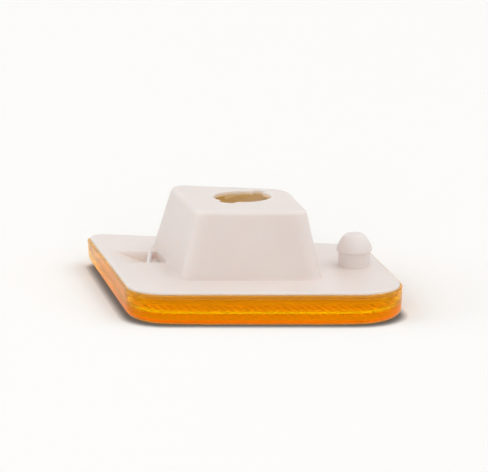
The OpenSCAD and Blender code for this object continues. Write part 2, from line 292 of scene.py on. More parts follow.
def reach(sides, rounds):
    """How far an outline lies from the axis in each direction. On a straight side that is the side's distance
    over the cosine of the angle from its normal, and the nearest side counts. On a corner it is the far root
    of the ray through the corner's circle, whose centre lies one radius inside both sides. sides may be one
    row of four distances or a stack of rows, one for each ring."""
    sides = np.atleast_2d(sides)
    rounds = np.maximum(np.broadcast_to(rounds, sides.shape), LEAST_ROUND)
    cosines = FACINGS.T @ RAYS
    straight = np.where(cosines > TINY, sides[:, :, None] / np.maximum(cosines, TINY), np.inf)
    lengths = straight.min(axis=1)
    for i in range(4):
        j = (i + 1) % 4
        a, b = sides[:, i] - rounds[:, i], sides[:, j] - rounds[:, i]
        (ax, ay), (bx, by) = FACINGS[:, i], FACINGS[:, j]
        centre = np.stack([a * by - b * ay, b * ax - a * bx], axis=1) / (ax * by - ay * bx)
        first = centre + rounds[:, i, None] * FACINGS[:, i]
        last = centre + rounds[:, i, None] * FACINGS[:, j]
        past_first = first[:, :1] * RAYS[1] - first[:, 1:] * RAYS[0] >= 0
        before_last = last[:, :1] * RAYS[1] - last[:, 1:] * RAYS[0] <= 0
        along = centre @ RAYS
        aside = centre[:, :1] * RAYS[1] - centre[:, 1:] * RAYS[0]
        bow = np.sqrt(np.maximum(rounds[:, i, None] ** 2 - aside ** 2, 0))
        lengths = np.where(past_first & before_last & (along > 0), along + bow, lengths)
    return lengths


farthest = reach(np.full(4, 10.0), 2.0).max()
print("an outline with its sides 10 mm out reaches", farthest.round(2), "mm at its sharpest corner")

# %% Define the outlines of lens and tower
def lens_reach(inset):
    """Reach of the lens outline moved inwards by one distance, or by one distance for each ring."""
    inset = np.atleast_1d(inset)[:, None]
    return reach(LENS_SIDES - inset, LENS_ROUNDS - inset)


def tower_reach(z, inset):
    """Reach of the tower's outline at each height, moved inwards: every side leans in by its own draft."""
    z, inset = np.broadcast_arrays(np.atleast_1d(z).astype(float), inset)
    rise = np.maximum(z - plate_top, 0)[:, None]
    return reach(TOWER_SIDES - rise * TOWER_DRAFTS - inset[:, None], TOWER_ROUNDS - inset[:, None])


plate_edge = lens_reach(PLATE_INSET)
print("plate edge lies", plate_edge.min().round(2), "to", plate_edge.max().round(2), "mm out")

# %% [markdown]
# ## From rings to a mesh
#
# The grid has one row for each ring of the profile and one column for each direction. Rows are joined by
# quads, the columns close on themselves, and the last row is joined back to the first, or each end is closed
# by a fan onto one point. Spinning a profile would do for the peg, but not for outlines that change from
# four-sided to round.

# %% Define the mesh builders
def enclosed(points, faces):
    """Volume inside a closed skin: the sum of every face's tetrahedra with the origin as their tip."""
    return sum((points[f[:, 0]] * np.cross(points[f[:, k]], points[f[:, k + 1]])).sum()
               for f in faces for k in range(1, f.shape[1] - 1)) / 6


def put_mesh(name, points, faces):
    """Object with its place in its mesh, from points in mm. Its faces are turned over if they point inwards,
    which shows in a negative volume."""
    outward = enclosed(points, faces) > 0
    lists = [row for f in faces for row in (f if outward else f[:, ::-1]).tolist()]
    mesh = bpy.data.meshes.new(name)
    mesh.from_pydata((points * MM).tolist(), [], lists)
    piece = bpy.data.objects.new(name, mesh)
    bpy.context.scene.collection.objects.link(piece)
    return piece


corner_points = np.array([[0, 0, 0], [1, 0, 0], [0, 1, 0], [0, 0, 1]])
corner_faces = np.array([[0, 2, 1], [0, 1, 3], [0, 3, 2], [1, 2, 3]])
corner_share = enclosed(corner_points, [corner_faces])
print("the corner cut off a cube holds", corner_share.round(3), "of it")

# %% Define the ring builders
def ring_piece(name, x, y, z, closed):
    """Closed skin over a grid of rings. closed joins the last ring to the first; otherwise each end gets a
    fan onto the mean of its ring."""
    rows, columns = x.shape
    points = np.stack([x, y, z], axis=-1).reshape(-1, 3)
    index = np.arange(rows * columns).reshape(rows, columns)
    if closed:
        index = np.vstack([index, index[:1]])
    a, b = index[:-1], index[1:]
    faces = [np.stack([a, np.roll(a, -1, 1), np.roll(b, -1, 1), b], axis=-1).reshape(-1, 4)]
    if not closed:
        first, last = index[0], index[-1]
        points = np.vstack([points, points[first].mean(axis=0), points[last].mean(axis=0)])
        first_pole, last_pole = np.full(columns, len(points) - 2), np.full(columns, len(points) - 1)
        faces.append(np.stack([first_pole, np.roll(first, -1), first], axis=-1))
        faces.append(np.stack([last_pole, last, np.roll(last, -1)], axis=-1))
    return put_mesh(name, points, faces)


def polar_piece(name, radii, z, closed):
    """Skin whose rings are given by their reach in each direction, with a height for each ring or point."""
    z = np.broadcast_to(np.asarray(z, float).reshape(len(radii), -1), radii.shape)
    return ring_piece(name, radii * RAYS[0], radii * RAYS[1], z, closed)


def arc(steps):
    """Angles of a quarter-circle rounding, both ends included, in radians."""
    return np.radians(np.linspace(0.0, 90.0, steps + 1))


print("a rounding in three steps turns through", np.degrees(arc(3)).round(), "degrees")

# %% [markdown]
# ## Joining and cutting
#
# Where a form doesn't follow the rings, as the peg and the pocket don't, it is made by itself and joined or
# cut with a Boolean. The modifier could stay live, but the mesh is taken from it at once, so that the tool
# can be cleared away and the piece stays one plain mesh.

# %% Define the carving and shading helpers
def carve(body, tool, operation):
    """Joins a tool to the body, cuts it out or keeps what both share, and clears the tool away."""
    change = body.modifiers.new("carve", "BOOLEAN")
    change.operation = operation
    change.object = tool
    change.solver = "MANIFOLD"
    carved = body.evaluated_get(bpy.context.evaluated_depsgraph_get())
    fresh = bpy.data.meshes.new_from_object(carved)
    body.modifiers.clear()
    body.data = fresh
    bpy.data.objects.remove(tool)
    print(operation.lower(), "leaves", body.name, "with", len(fresh.polygons), "faces")


def shade(piece, material, sharp):
    """One material, and smooth shading that breaks only where faces meet at more than an angle in degrees."""
    piece.data.shade_smooth()
    piece.data.set_sharp_from_angle(angle=np.radians(sharp))
    piece.data.materials.clear()
    piece.data.materials.append(material)

# %% [markdown]
# ## Bulb hole
#
# The bulb holder is pushed through a round hole with one wide and one narrow notch, so that it fits in one
# way only, and then turned. Two ramps under the roof draw it tight. The hole could be cut with a Boolean, but
# as a distance in each direction it becomes the first and last ring of the wall's own profile.

# %% Shape the bulb hole
HOLE_R = mounts["bulb_hole"]["dims"]["r_mm"]
NOTCHES = ((241.0, 5.5), (58.0, 4.0))  # angle in degrees and width in mm
NOTCH_REACH = 2.0
BAYONET_TURN, BAYONET_LAG = 52.0, 2.0  # degrees that a ramp runs round, and degrees between notch and ramp
BAYONET_RISE, BAYONET_START = 1.1, 0.2  # mm at its end, and the share of it at its start


def hole_reach(grow):
    """Reach of the bulb hole grown by one distance. In a notch the edge is the far arc or the parallel flank,
    whichever is nearer. The flank's reach is half the width over the sine of the angle from the middle."""
    lengths = np.full(AROUND, HOLE_R + grow)
    for angle, width in NOTCHES:
        off = (THETA - np.radians(angle) + np.pi) % (2 * np.pi) - np.pi
        flank = (width / 2 + grow) / np.maximum(np.abs(np.sin(off)), TINY)
        notch = np.minimum(HOLE_R + NOTCH_REACH + grow, flank)
        lengths = np.where((np.abs(off) < np.pi / 2) & (notch > lengths), notch, lengths)
    return lengths[None]


def bayonet_drop():
    """How far each bayonet ramp hangs under the roof in each direction: a share of its rise where it starts,
    growing evenly to the whole rise where it ends, and nothing elsewhere."""
    drop = np.zeros(AROUND)
    for angle, width in NOTCHES:
        start = np.radians(angle + BAYONET_LAG) + np.arcsin(width / 2 / HOLE_R)
        turn = ((THETA - start) % (2 * np.pi)) / np.radians(BAYONET_TURN)
        share = BAYONET_START + (1 - BAYONET_START) * turn
        drop = np.where(turn <= 1, BAYONET_RISE * share, drop)
    return drop


print("hole reach", hole_reach(0).min(), "to", hole_reach(0).max(), "mm")
print("bayonet ramps drop up to", bayonet_drop().max().round(2), "mm")

# %% [markdown]
# ## Housing: plate, skirt and hollow tower
#
# The real housing is one shot of natural ABS. Its tower leans in on all sides, so that it leaves the mould,
# and every outer edge has a small radius. The profile starts at the lip of the bulb hole and goes once round
# the wall: over the roof, down the tower, out over the plate, under it, round the skirt and up through the
# bulb chamber to the hole again. A lathe can't turn it, since each side has its own draft, so every ring is
# worked out by itself. Each rounding is a row of rings, with a ring close beside it to keep the flat next to
# it flat.

# %% Lay out the outside of the housing
LIP_ROUND, FOOT_ROUND, PLATE_ROUND = 0.3, 0.8, 0.4  # hole, foot of the tower, edge of the plate
BESIDE = 0.2  # distance of the ring that guards a flat
PLATE_BREAK, PLATE_RIM = 0.15, 0.4  # broken lower edge of the plate, and the guard ring beyond it
ROOF_RINGS, WALL_RINGS, PLATE_RINGS = 9, 14, 12
profile = {"reach": [], "z": []}


def ring_rows(reaches, heights):
    """Adds rings to the profile. heights is one number, one for each ring, or one for each point."""
    heights = np.atleast_1d(np.asarray(heights, float))
    if heights.ndim == 1:
        heights = heights[:, None]
    profile["reach"].append(reaches)
    profile["z"].append(np.broadcast_to(heights, reaches.shape))


def between(inner, outer, steps):
    """Rings from one outline to another, each a weighted mean of the two in every direction."""
    share = np.linspace(0, 1, steps)[:, None]
    return inner * (1 - share) + outer * share


# Lip of the hole, rounded, then the flat roof
t = arc(5)
lip = np.vstack([hole_reach(LIP_ROUND * (1 - c)) for c in np.cos(t)])
ring_rows(lip, tower_top - LIP_ROUND * (1 - np.sin(t)))
roof_edge = tower_reach(tower_top, ROOF_ROUND + BESIDE)
ring_rows(between(hole_reach(LIP_ROUND + BESIDE), roof_edge, ROOF_RINGS), tower_top)
# Rounded edge of the roof and the wall of the tower
t = arc(8)
z = tower_top - ROOF_ROUND * (1 - np.cos(t))
ring_rows(tower_reach(z, ROOF_ROUND * (1 - np.sin(t))), z)
z = np.linspace(wall_end - BESIDE, plate_top + FOOT_ROUND + BESIDE, WALL_RINGS)
ring_rows(tower_reach(z, 0.0), z)
# Hollow rounding at the foot of the tower and the top of the plate
t = arc(7)
z = plate_top + FOOT_ROUND * (1 - np.sin(t))
ring_rows(tower_reach(z, -FOOT_ROUND * (1 - np.cos(t))), z)
foot, rim = tower_reach(plate_top, -FOOT_ROUND - BESIDE), lens_reach(PLATE_INSET + PLATE_ROUND + BESIDE)
ring_rows(between(foot, rim, PLATE_RINGS), plate_top)
# Rounded edge and side of the plate, then the rim of its underside
t = arc(6)
ring_rows(lens_reach(PLATE_INSET + PLATE_ROUND * (1 - np.sin(t))), plate_top - PLATE_ROUND * (1 - np.cos(t)))
ring_rows(lens_reach(PLATE_INSET + np.array([0, 0, PLATE_BREAK, PLATE_RIM])),
          [plate_top - PLATE_ROUND - BESIDE, plate_bottom + PLATE_BREAK, plate_bottom, plate_bottom])
print("outside has", sum(len(r) for r in profile["reach"]), "rings")

# %% Lay out the inside of the housing
SKIRT_INSET, SKIRT_WALL, SKIRT_DEPTH = 2.35, 1.4, 2.0
SKIRT_FOOT, SKIRT_BREAK, SKIRT_ROOT = 0.15, 0.25, 0.2  # chamfers outside at the plate, at its edge, inside
ROOF_THICKNESS, TOWER_WALL, CHAMBER_ROUND = 1.4, 2.0, 0.6
MOUTH_BREAK = 0.1  # chamfer round the mouth of the bulb chamber
SKIRT_GUARD, MOUTH_GUARD = 0.4, 0.3  # rings on the underside of the plate, beside the skirt and the mouth
BAYONET_SETBACK, BAYONET_FACE = 0.5, 0.05  # from the hole's edge to the ramps, and how far their flanks lean
UNDERSIDE_RINGS, CHAMBER_RINGS, CEILING_RINGS = 8, 12, 4
BAYONET_GUARD = 0.1  # ring beside the ramps
BORE_BREAK = 0.06  # chamfer of the hole under the roof
BAYONET_RINGS = ((NOTCH_REACH + BAYONET_FACE, 0.4, 0),  # reach past the hole, least distance from the
                 (NOTCH_REACH, 0.3, 1),  # edge of a notch, and share of the ramps' drop
                 (BAYONET_SETBACK + BAYONET_FACE, 0.2, 1),
                 (BAYONET_SETBACK, 0.15, 0))
roof_bottom, skirt_bottom = tower_top - ROOF_THICKNESS, plate_bottom - SKIRT_DEPTH

# Skirt: down its outer face, across its edge and up its inner face
ring_rows(lens_reach(SKIRT_INSET + np.array([-SKIRT_FOOT, 0, 0, SKIRT_BREAK])),
          [plate_bottom, plate_bottom - SKIRT_FOOT, skirt_bottom + SKIRT_BREAK, skirt_bottom])
ring_rows(lens_reach(SKIRT_INSET + SKIRT_WALL + np.array([-SKIRT_BREAK, 0, 0, SKIRT_ROOT])),
          [skirt_bottom, skirt_bottom + SKIRT_BREAK, plate_bottom - SKIRT_ROOT, plate_bottom])
# Underside of the plate, mouth of the bulb chamber and its wall
mouth = tower_reach(plate_top, TOWER_WALL)
skirt_side = lens_reach(SKIRT_INSET + SKIRT_WALL + SKIRT_GUARD)
ring_rows(between(skirt_side, mouth + MOUTH_GUARD, UNDERSIDE_RINGS), plate_bottom)
ring_rows(np.vstack([mouth + MOUTH_BREAK, mouth]), [plate_bottom, plate_bottom + MOUTH_BREAK])
z = np.linspace(plate_top, roof_bottom - CHAMBER_ROUND - BESIDE, CHAMBER_RINGS)
ring_rows(tower_reach(z, TOWER_WALL), z)
t = arc(5)
z = roof_bottom - CHAMBER_ROUND * (1 - np.sin(t))
ring_rows(tower_reach(z, TOWER_WALL + CHAMBER_ROUND * (1 - np.cos(t))), z)
# Underside of the roof with the two bayonet ramps, and the wall of the hole
beyond, clear, _ = BAYONET_RINGS[0]
bayonet_edge = np.maximum(HOLE_R + beyond, hole_reach(clear)) + BAYONET_GUARD
ceiling_side = tower_reach(roof_bottom, TOWER_WALL + CHAMBER_ROUND + BESIDE)
ring_rows(between(ceiling_side, bayonet_edge, CEILING_RINGS), roof_bottom)
for beyond, clear, share in BAYONET_RINGS:
    ring_rows(np.maximum(HOLE_R + beyond, hole_reach(clear)), [roof_bottom - share * bayonet_drop()])
ring_rows(np.vstack([hole_reach(BORE_BREAK), hole_reach(0), hole_reach(0)]),
          [roof_bottom, roof_bottom + BORE_BREAK, (roof_bottom + tower_top) / 2])
print("profile has", sum(len(r) for r in profile["reach"]), "rings")

# %% Build the housing shell
shell = polar_piece("housing_shell", np.vstack(profile["reach"]), np.vstack(profile["z"]), closed=True)
print("shell:", len(shell.data.polygons), "faces")

# %% [markdown]
# ## Snap peg
#
# The peg goes through a rubber grommet in the car's body panel: a stem, a small shoulder and a domed nose
# that finds the hole. It could be spun with the Screw modifier, but a profile of radius and height carried
# round an axis gives every ring at once. Its foot flares into the plate as a moulded peg's does, and a blind
# core from below keeps its wall as thick as the plate, so that no sink mark shows on the nose.

# %% Turn the peg and its core
PEG_TURNS, NOSE_RINGS = 96, 16
STEM_R, STEM_LENGTH, HEAD_R, SHOULDER, PEG_HEIGHT, TIP_R = 4.85, 4.2, 5.4, 0.7, 9.9, 2.8  # mm
NOSE_POWER = 1.7  # 1 would make the nose a cone, and 2 a parabola
TIP_IN, TIP_DOWN = np.array([0.05, 0.3, 0.7]), np.array([0.16, 0.03, 0.0])  # rings that round the tip's edge
PEG_FLARE, PEG_ROOT, STEM_GUARD = 0.5, 1.0, 0.3  # rounded foot, depth it is sunk, ring below the shoulder
CORE_R, CORE_CHAMFER, TIP_WALL = 3.0, 0.4, 3.2
POLE_R = 0.5  # radius of the last ring round each pole
SINK, CUT_PAST = 0.01, 2.0  # mm that joined faces sink in, and that a cutter runs past the surface
peg_at = np.array(mounts["locating_peg"]["pos_m"][:2]) / MM


def turned(name, radius, z, at):
    """Solid turned about an upright axis: each profile point is carried round a circle of its own radius."""
    turn = np.arange(PEG_TURNS) * 2 * np.pi / PEG_TURNS
    radius, z = np.asarray(radius, float)[:, None], np.asarray(z, float)[:, None]
    return ring_piece(name, at[0] + radius * np.cos(turn), at[1] + radius * np.sin(turn), z + 0 * turn,
                      closed=False)


t = arc(6)
s = np.linspace(0, 1, NOSE_RINGS)
nose_z = STEM_LENGTH + SHOULDER + (PEG_HEIGHT - STEM_LENGTH - SHOULDER) * s
nose_r = TIP_R + (HEAD_R - TIP_R) * (1 - s ** NOSE_POWER)
flare_r, flare_z = STEM_R + PEG_FLARE * (1 - np.sin(t)), PEG_FLARE * (1 - np.cos(t)) - SINK
peg_r = [POLE_R, STEM_R + PEG_FLARE, *flare_r, STEM_R, STEM_R, *nose_r[:-1], *(TIP_R - TIP_IN), POLE_R]
peg_z = [-PEG_ROOT, -PEG_ROOT, *flare_z, STEM_LENGTH - STEM_GUARD, STEM_LENGTH, *nose_z[:-1],
         *(PEG_HEIGHT - TIP_DOWN), PEG_HEIGHT]
core_bottom, core_top = plate_bottom - CUT_PAST, plate_top + PEG_HEIGHT - TIP_WALL
core_r = [POLE_R, CORE_R, CORE_R, CORE_R - CORE_CHAMFER, POLE_R]
core_z = [core_bottom, core_bottom, core_top - CORE_CHAMFER, core_top, core_top]
carve(shell, turned("peg", peg_r, plate_top + np.array(peg_z), peg_at), "UNION")
carve(shell, turned("core", core_r, core_z, peg_at), "DIFFERENCE")
print("peg at", peg_at.round(2), "mm")

# %% [markdown]
# ## Latch pocket
#
# At the left foot of the tower a spring latch of the car's panel slides down a ramp, snaps over a thin bar
# and rests in a slot. Plain blocks could cut these, but would leave sharp rims. So each hollow is a stack of
# rounded four-sided rings that shrinks downwards, cut out with a Boolean. The tub that closes the hollows
# from below is a profile whose right end follows the leaning wall of the tower.

# %% Define rings with rounded corners
RAMP_START, RAMP_LENGTH, RAMP_DEPTH, RAMP_END_GAP = 40.5, 11.2, 4.0, 0.2  # mm
BAR, SLOT_DEPTH = 1.0, 2.4
POCKET_FRONT, POCKET_WIDTH, POCKET_WALL = 2.4, 16.0, 1.4
POCKET_ROUND, POCKET_LIP, LEAST_POCKET_ROUND = 0.6, 0.45, 0.05
POCKET_CHAMFER = 0.1  # round the floor of a hollow
POCKET_ABOVE = 1.0  # mm that a cutter stands above the plate
bar_x = RAMP_LENGTH - RAMP_START  # the bar's side towards the ramp
lean = NORMALS[3] - np.pi  # angle by which the left sides lean away from the Y axis


def cornered_rings(sides, rounds, normals, steps=6):
    """Points of four-sided rings with rounded corners, one ring for each row of side distances: at every
    corner a circle of its radius, put where both sides touch it, is walked from the one side's normal to the
    next one's."""
    xs, ys = [], []
    for i in range(4):
        j = (i + 1) % 4
        a, b = normals[i], normals[j]
        p, q = sides[:, i:i + 1] - rounds, sides[:, j:j + 1] - rounds
        walk = a + ((b - a) % (2 * np.pi)) * np.linspace(0, 1, steps + 1)
        xs.append((p * np.sin(b) - q * np.sin(a)) / np.sin(b - a) + rounds * np.cos(walk))
        ys.append((q * np.cos(a) - p * np.cos(b)) / np.sin(b - a) + rounds * np.sin(walk))
    return np.hstack(xs), np.hstack(ys)


sample_x, _ = cornered_rings(np.full((1, 4), 5.0), 1.0, NORMALS)
print("one ring with 1 mm corners has", sample_x.size, "points")

# %% Shape the ramp and the slot
def hollow(name, left_at_top, left_at_bottom, right, right_lean, right_lip, depth):
    """Cutter for one hollow. Its left side moves from one place to another as it goes down. Its sides open
    out by a quarter circle at the plate's face, the right one only where right_lip is 1."""
    t = arc(4)
    z = np.concatenate([[-depth, -depth + POCKET_CHAMFER], -POCKET_LIP * (1 - np.sin(t)), [POCKET_ABOVE]])
    grow = np.concatenate([[-POCKET_CHAMFER, 0.0], POCKET_LIP * (1 - np.cos(t)), [POCKET_LIP]])
    share = np.clip(-z / depth, 0, 1)
    left = left_at_top + (left_at_bottom - left_at_top) * share
    back = POCKET_WIDTH - POCKET_FRONT
    sides = np.stack([POCKET_FRONT + grow, right + right_lip * grow, back + grow, grow - left], axis=1)
    normals = np.array([-np.pi / 2, right_lean, np.pi / 2, np.pi])
    width = (right / np.cos(right_lean) - left)[:, None]
    x, y = cornered_rings(sides, np.clip(width / 3, LEAST_POCKET_ROUND, POCKET_ROUND), normals)
    return ring_piece(name, x, y, plate_top + z[:, None] + 0 * x, closed=False)


slot_x = bar_x + BAR
ramp_cutter = hollow("latch_ramp", -RAMP_START, bar_x - RAMP_END_GAP, bar_x, 0.0, 1, RAMP_DEPTH)
slot_cutter = hollow("latch_slot", slot_x, slot_x, -TOWER_SIDES[3], lean, 0, SLOT_DEPTH)
print("ramp from x =", -RAMP_START, "to", round(bar_x, 1), "mm, then a bar", BAR, "mm thick")

# %% Close the pocket from below and cut it
TUB_TOP = 0.7  # mm below the plate's face, so that the tub ends inside the plate
TUB_ROWS = 9


def tub():
    """Wall of the pocket below the plate: at each place along Y a profile from the skirt, down along the
    ramp, round the slot and up inside the plate. Its two ends follow the leaning sides of the skirt and of
    the tower."""
    y = np.linspace(-POCKET_FRONT - POCKET_WALL, POCKET_WIDTH - POCKET_FRONT + POCKET_WALL, TUB_ROWS)[:, None]
    left = -(LENS_SIDES[3] - SKIRT_INSET - SKIRT_WALL / 2 + y * np.sin(lean)) / np.cos(lean)
    right = -(TOWER_SIDES[3] - TOWER_WALL / 2 + y * np.sin(lean)) / np.cos(lean)
    low, slot_low = plate_top - RAMP_DEPTH - POCKET_WALL, plate_top - SLOT_DEPTH - POCKET_WALL
    start, foot, inside = -RAMP_START - POCKET_WALL, bar_x + POCKET_WALL, plate_top - TUB_TOP
    left_z = plate_top - POCKET_WALL - (left - start) * RAMP_DEPTH / (foot - start)
    flat = 0 * y
    x = np.hstack([left, foot + flat, foot + flat, right, right, left])
    z = np.hstack([left_z, low + flat, slot_low + flat, slot_low + flat, inside + flat, inside + flat])
    return ring_piece("tub", x, y + 0 * x, z, closed=False)


carve(shell, tub(), "UNION")
carve(shell, ramp_cutter, "DIFFERENCE")
carve(shell, slot_cutter, "DIFFERENCE")
print("pocket ends at the tower, x =", round(-TOWER_SIDES[3], 1), "mm")

# %% [markdown]
# ## Lens: a crowned tray
#
# The lens is moulded in clear amber acrylic. Its outer face lies on the table: flat in the middle, curving up
# a little towards both ends. A generous radius joins it to the side wall, which leans out for the mould, and
# the rim ends in a thin lip round a step that takes the sealant. A bent sheet with Solidify would be quicker,
# but has one thickness all over. So the profile runs from the middle of the outer face, round the rim, and
# back to the middle of the inner face, and the skin is one closed solid, as glass has to be for light to bend
# truly in it.

# %% Lay out the outside of the lens
LENS_WALL, LENS_FLOOR, LENS_DRAFT, EDGE_ROUND, INNER_ROUND = 2.2, 2.8, 2.0, 2.2, 2.2  # draft in degrees
LIP_WIDTH, RIM_ROUND = 0.7, 0.15
BAND_HALF, BAND_X, CROWN_RADIUS = 15.0, 7.0, 465.0  # flat band: half its width, its middle; then the crown
POLE_SHARE = 0.04  # the smallest ring of a face, as a share of its largest
FACE_RINGS, SIDE_RINGS = 22, 6


def crown(x):
    """Height of the curved outer face: nothing over the flat band, and beyond it the square of the distance
    from the band over twice the radius, which is a circle's own start."""
    return np.maximum(np.abs(x - BAND_X) - BAND_HALF, 0) ** 2 / (2 * CROWN_RADIUS)


wall_foot = (lens_top - EDGE_ROUND) * np.tan(np.radians(LENS_DRAFT))
t = arc(10)
face = lens_reach(wall_foot + EDGE_ROUND + BESIDE) * np.linspace(POLE_SHARE, 1, FACE_RINGS)[:, None]
edge = lens_reach(wall_foot + EDGE_ROUND * (1 - np.sin(t)))
lower = np.vstack([face, edge])
rise = np.concatenate([np.zeros(len(face)), EDGE_ROUND * (1 - np.cos(t))])
lower_z = crown(lower * RAYS[0]) + rise[:, None]
share = np.linspace(0, 1, SIDE_RINGS + 2)[1:-1, None]
wall = lens_reach(wall_foot * (1 - share[:, 0]))
wall_z = lower_z[-1] * (1 - share) + (lens_top - RIM_ROUND) * share
print("outer face rises", crown(lower * RAYS[0]).max().round(2), "mm at its ends")

# %% Lay out the inside of the lens and build it
STEP_IN, STEP_UP, SEAT_GUARD, WALL_BREAK = 0.05, 0.1, 0.3, 0.1  # foot of the lip, ring beside it, inner edge
WALL_DOWN = (0.7, 1.4)  # mm below the seat, rings that keep the inner wall straight


def level_rows(heights):
    """Heights that are the same in every direction, one row for each."""
    return np.repeat(np.asarray(heights)[:, None], AROUND, 1)


t = arc(5)
rim_in, rim_z = RIM_ROUND * (1 - np.cos(t)), lens_top - RIM_ROUND * (1 - np.sin(t))
step_in = LIP_WIDTH + np.array([0, STEP_IN, SEAT_GUARD])
edge_in = LENS_WALL - np.array([WALL_BREAK, 0, 0, 0])
inside = lens_reach(np.concatenate([(LIP_WIDTH - rim_in)[::-1], step_in, edge_in]))
inside_z = np.concatenate([rim_z[::-1], [seat_z + STEP_UP, seat_z, seat_z],
                           [seat_z, seat_z - WALL_BREAK, *(seat_z - down for down in WALL_DOWN)]])
t = arc(7)
bend = lens_reach(LENS_WALL + INNER_ROUND * (1 - np.cos(t)))
bend_z = LENS_FLOOR + INNER_ROUND * (1 - np.sin(t))[:, None] + crown(bend * RAYS[0])
base = lens_reach(LENS_WALL + INNER_ROUND + BESIDE) * np.linspace(1, POLE_SHARE, FACE_RINGS)[:, None]
base_z = LENS_FLOOR + crown(base * RAYS[0])
lens = polar_piece("amber_tray", np.vstack([lower, wall, lens_reach(rim_in), inside, bend, base]),
                   np.vstack([lower_z, wall_z, level_rows(rim_z), level_rows(inside_z), bend_z, base_z]),
                   closed=False)
print("tray:", len(lens.data.polygons), "faces")

# %% [markdown]
# ## Optic flutes
#
# Round grooves in the floor of the tray spread the bulb's light. They show through the front wall as faint
# leaning stripes. A bump in the material could hint at them, but only real grooves bend light, and they are
# there in the finished mesh too. One slab with a grooved underside cuts them all in a single Boolean, once it
# has been trimmed to the flat part of the floor.

# %% Cut the optic flutes
FLUTE_PITCH, FLUTE_DEPTH, FLUTE_LAND, FLUTE_SKIM = 2.4, 0.3, 0.3, 0.02  # mm
FLUTES_EACH_WAY, FLUTE_STEPS = 19, 9
SLAB_HALF, SLAB_ROWS, SLAB_HEIGHT = 60.0, 13, 6.0
TRIM_BELOW, TRIM_ABOVE = 1.0, 2.0  # mm from the floor to the ends of the trimming block
flute_half = (FLUTE_PITCH - FLUTE_LAND) / 2
flute_r = (flute_half ** 2 + FLUTE_DEPTH ** 2) / (2 * FLUTE_DEPTH)


def flute_cutter():
    """Slab whose underside is a row of round grooves: across a groove the height is its lowest point plus the
    radius less the root of radius squared less offset squared. The grooves run parallel to the left side, so
    their places shift to the left by the lean's tangent times Y, and every point is raised by the crown under
    it."""
    middles = np.arange(-FLUTES_EACH_WAY, FLUTES_EACH_WAY + 1) * FLUTE_PITCH
    off = np.linspace(-flute_half, flute_half, FLUTE_STEPS)
    rows = np.linspace(-SLAB_HALF, SLAB_HALF, SLAB_ROWS)[:, None]
    x = (middles[:, None] + off).ravel() - rows * np.tan(lean)
    y = rows + 0 * x
    groove = np.tile(flute_r - FLUTE_DEPTH - np.sqrt(flute_r ** 2 - off ** 2), len(middles))
    z = LENS_FLOOR - FLUTE_SKIM + groove + crown(x)
    ends = [-1, 0]
    top = np.full((len(x), 2), LENS_FLOOR + SLAB_HEIGHT)
    return ring_piece("flutes", np.hstack([x, x[:, ends]]), np.hstack([y, y[:, ends]]), np.hstack([z, top]),
                      closed=False)


trim = np.vstack([lens_reach(LENS_WALL + INNER_ROUND + FLUTE_LAND)] * 2)
within = polar_piece("within", trim, [LENS_FLOOR - TRIM_BELOW, LENS_FLOOR + TRIM_ABOVE], closed=False)
carve(within, flute_cutter(), "INTERSECT")
carve(lens, within, "DIFFERENCE")
print("flutes of radius", round(flute_r, 2), "mm, every", FLUTE_PITCH, "mm")

# %% [markdown]
# ## A textured inside
#
# The outside of the lens's tool was polished, and its inside left with a fine texture. Two materials could
# tell the sides apart, but the lens is one plastic. So every face that lies inwards of the wall and above
# the outer face carries a 1, all others carry a 0, and the material reads that number.

# %% Mark the textured faces
WALL_MARGIN, FLOOR_MARGIN = 0.05, 0.8  # mm by which the marked space is larger than the tray's inside
centres = np.empty(len(lens.data.polygons) * 3, np.float32)
lens.data.polygons.foreach_get("center", centres)
centres = centres.reshape(-1, 3) / MM
direction = np.arctan2(centres[:, 1], centres[:, 0])
inner_wall = np.interp(direction, THETA, lens_reach(LENS_WALL - WALL_MARGIN)[0], period=2 * np.pi)
textured = (np.hypot(centres[:, 0], centres[:, 1]) < inner_wall) & (centres[:, 2] > LENS_FLOOR - FLOOR_MARGIN)
mark = lens.data.attributes.new("textured", "FLOAT", "FACE")
mark.data.foreach_set("value", textured.astype(np.float32))
print("textured faces:", int(textured.sum()))

# %% [markdown]
# ## Sealing bead
#
# An outside lamp has to be watertight, so a bead of compound fills the step between lens and housing. It is
# laid as a round string and pressed flat when the housing goes in. A curve with a bevel could draw it, but a
# ring profile that bulges at its free inner side shows how it was squeezed.

# %% Press the sealing bead
BEAD_RINGS = 16
BULGE_SIDE, BULGE_FACE = 0.3, 0.6  # powers of cosine and sine: 1 is round, and towards 0 it turns square
t = np.linspace(0, 2 * np.pi, BEAD_RINGS + 1)[:-1]
middle, half = (PLATE_INSET + LENS_WALL) / 2, (LENS_WALL - PLATE_INSET) / 2
squeeze = np.sign(np.cos(t)) * np.abs(np.cos(t)) ** BULGE_SIDE
height = np.sign(np.sin(t)) * np.abs(np.sin(t)) ** BULGE_FACE
bead = polar_piece("sealing_bead", lens_reach(middle + half * squeeze),
                   (seat_z + plate_bottom) / 2 + (plate_bottom - seat_z) / 2 * height, closed=True)
print("bead:", len(bead.data.polygons), "faces,", round(2 * half, 2), "mm wide")

# %% [markdown]
# ## Natural ABS
#
# The housing is natural ABS, unpainted and injection moulded. It is a faintly warm white that no shape shows
# through, though light sinks a few millimetres in, and daylight glows through the tower's thin walls. The
# mould was spark-eroded to a fine satin, so the surface has a grain of a few tenths of a millimetre under a
# soft gloss, and the colour clouds a little where the melt flowed. A flat colour would look like paint.

